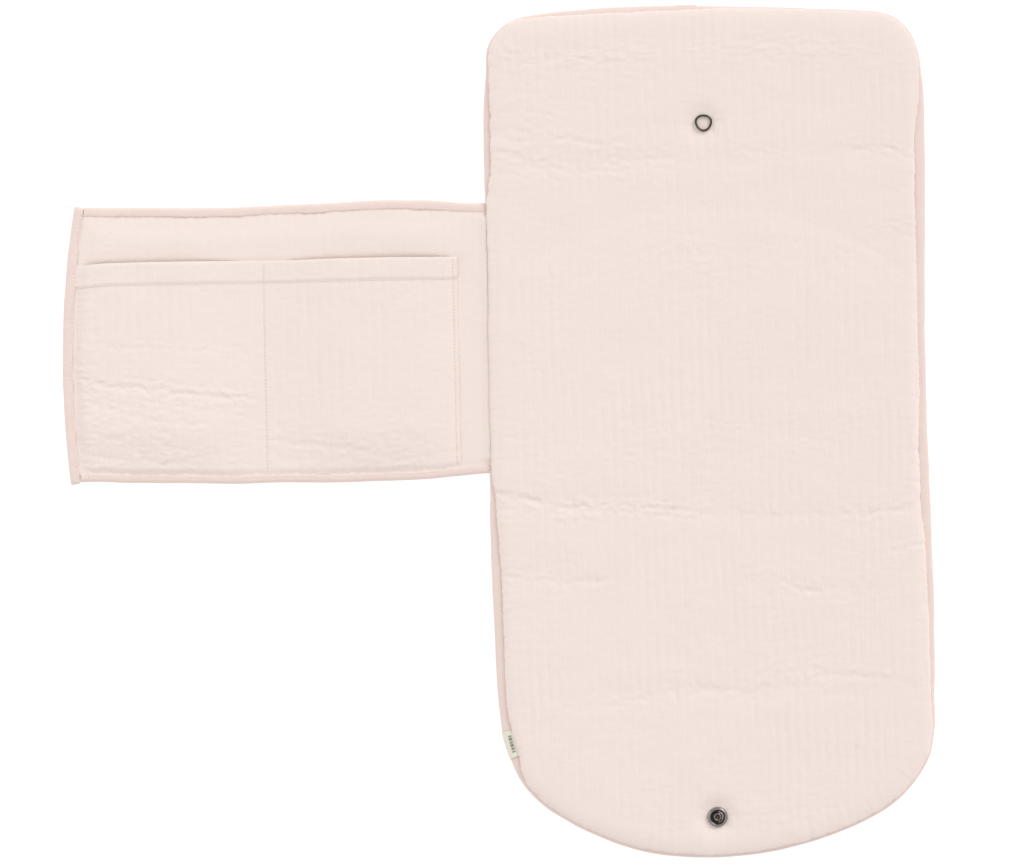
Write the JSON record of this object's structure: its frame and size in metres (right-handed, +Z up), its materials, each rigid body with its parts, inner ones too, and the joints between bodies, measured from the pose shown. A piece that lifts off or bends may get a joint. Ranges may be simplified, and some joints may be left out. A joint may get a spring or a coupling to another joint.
{
  "type": "fold-up changing mat",
  "caption": "Padded fold-up baby changing mat with a round foot end, a side flap with open pockets, and a ring snap that holds it shut when folded.",
  "frame": {"origin": "middle of the middle panel's underside, on the surface that the mat lies on", "axes": "+Z up out of the mat, +Y towards the head end, the pocket flap lies towards -X"},
  "size_m": [0.7131, 0.703, 0.0168],
  "materials": {
    "quilt": "matte",
    "binding": "matte",
    "lining": "satin",
    "wadding": "matte",
    "snap": "polished",
    "label": "matte"
  },
  "bodies": {
    "middle_panel": {"middle_top_cover": "quilt", "middle_wadding": "wadding", "middle_back_cover": "lining", "middle_binding_left": "binding", "middle_binding_right": "binding"},
    "head_spine": {"head_spine_top_cover": "quilt", "head_spine_wadding": "wadding", "head_spine_back_cover": "lining", "head_spine_binding_left": "binding", "head_spine_binding_right": "binding"},
    "head_panel": {"head_top_cover": "quilt", "head_wadding": "wadding", "head_back_cover": "lining", "head_binding": "binding", "snap_stud": "snap", "snap_stud_ring": "snap"},
    "foot_spine": {"foot_spine_top_cover": "quilt", "foot_spine_wadding": "wadding", "foot_spine_back_cover": "lining", "foot_spine_binding_left": "binding", "foot_spine_binding_right": "binding"},
    "foot_panel": {"foot_top_cover": "quilt", "foot_wadding": "wadding", "foot_back_cover": "lining", "foot_binding": "binding", "snap_socket": "snap", "snap_socket_ring": "snap", "label": "label"},
    "flap_spine": {"flap_spine_front_cover": "quilt", "flap_spine_wadding": "wadding", "flap_spine_back_cover": "lining", "flap_spine_binding_top": "binding", "flap_spine_binding_bottom": "binding"},
    "pocket_flap": {"flap_front_cover": "quilt", "flap_wadding": "wadding", "flap_back_cover": "lining", "flap_binding_top": "binding", "flap_binding_bottom": "binding", "flap_binding_end": "binding", "pocket_panel": "quilt"}
  },
  "joints": [
    {"name": "head_fold", "type": "hinge", "parent": "middle_panel", "child": "head_spine", "pos_m": [0, 0.1308, 0.012], "axis": [1, 0, 0], "range_deg": [0, 90]},
    {"name": "head_fold_far", "type": "hinge", "parent": "head_spine", "child": "head_panel", "pos_m": [0, 0.1494, 0.012], "axis": [1, 0, 0], "range_deg": [0, 90]},
    {"name": "foot_fold", "type": "hinge", "parent": "middle_panel", "child": "foot_spine", "pos_m": [0, -0.1308, 0.012], "axis": [-1, 0, 0], "range_deg": [0, 90]},
    {"name": "foot_fold_far", "type": "hinge", "parent": "foot_spine", "child": "foot_panel", "pos_m": [0, -0.1618, 0.012], "axis": [-1, 0, 0], "range_deg": [0, 90]},
    {"name": "flap_fold", "type": "hinge", "parent": "middle_panel", "child": "flap_spine", "pos_m": [-0.18115, -0.0062, 0.0054], "axis": [0, 1, 0], "range_deg": [0, 90]},
    {"name": "flap_fold_far", "type": "hinge", "parent": "flap_spine", "child": "pocket_flap", "pos_m": [-0.20065, -0.0062, 0.0054], "axis": [0, 1, 0], "range_deg": [0, 90]}
  ],
  "couplings": [
    {"joint": "head_fold_far", "follows": "head_fold", "ratio": 1},
    {"joint": "foot_fold_far", "follows": "foot_fold", "ratio": 1},
    {"joint": "flap_fold_far", "follows": "flap_fold", "ratio": 1}
  ]
}
